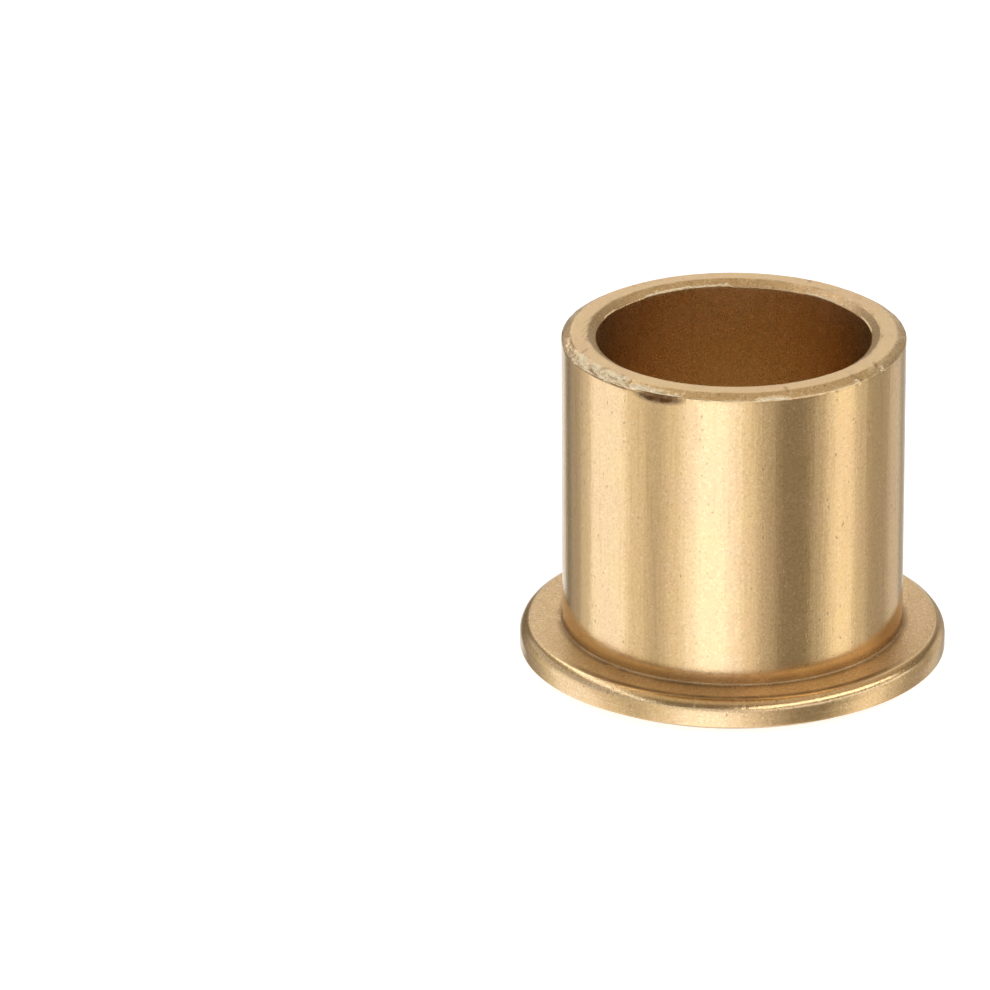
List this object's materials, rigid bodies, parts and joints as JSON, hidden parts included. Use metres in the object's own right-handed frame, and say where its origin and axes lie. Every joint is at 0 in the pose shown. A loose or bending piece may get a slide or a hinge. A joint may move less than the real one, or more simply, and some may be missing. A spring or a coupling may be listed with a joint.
{
  "type": "flanged bushing",
  "caption": "Plain sleeve bushing of sintered bronze: a short cylindrical sleeve with a through bore and a flat flange at one end, which carries a shaft and its side load.",
  "frame": {"origin": "centre of the flange's outer face, on the bore axis", "axes": "+Z along the bore axis, from the flange's outer face towards the free end of the sleeve; X and Y are any two directions across it, because the bushing is a body of revolution"},
  "size_m": [0.025, 0.025, 0.02],
  "materials": {
    "sintered_bronze": "sintered bronze, burnished by sizing on the walls and matt and grainy on the pressed faces and bevels"
  },
  "bodies": {
    "root": {"flanged_bushing": "sintered_bronze"}
  },
  "joints": []
}
